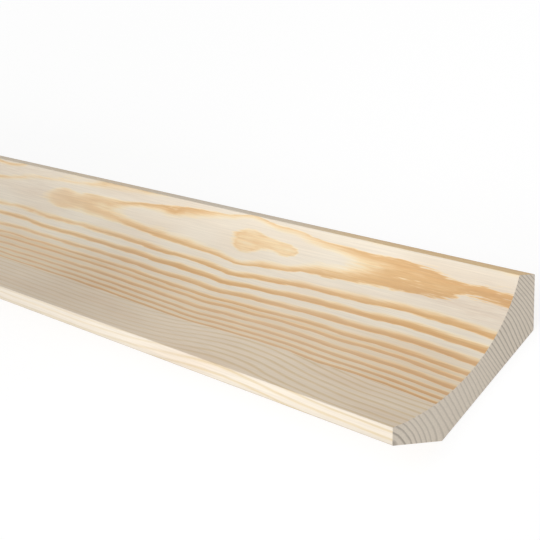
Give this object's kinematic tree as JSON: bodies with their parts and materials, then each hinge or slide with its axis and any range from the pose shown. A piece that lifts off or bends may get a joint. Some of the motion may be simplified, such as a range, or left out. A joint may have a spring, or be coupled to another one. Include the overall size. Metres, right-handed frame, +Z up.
{
  "type": "cove moulding",
  "caption": "Straight length of solid pine cove moulding: a hollow circular face between narrow lips, sloping lands that bed on wall and ceiling, and a flat back that bridges the corner.",
  "frame": {"origin": "middle of the flat back, halfway along the length, on the surface that the piece lies on", "axes": "+X along the stock, +Y across its width, +Z up out of the hollow face"},
  "size_m": [2.4, 0.0688, 0.0159],
  "materials": {
    "planed_pine": "satin"
  },
  "bodies": {
    "root": {"cove_moulding": "planed_pine"}
  },
  "joints": []
}
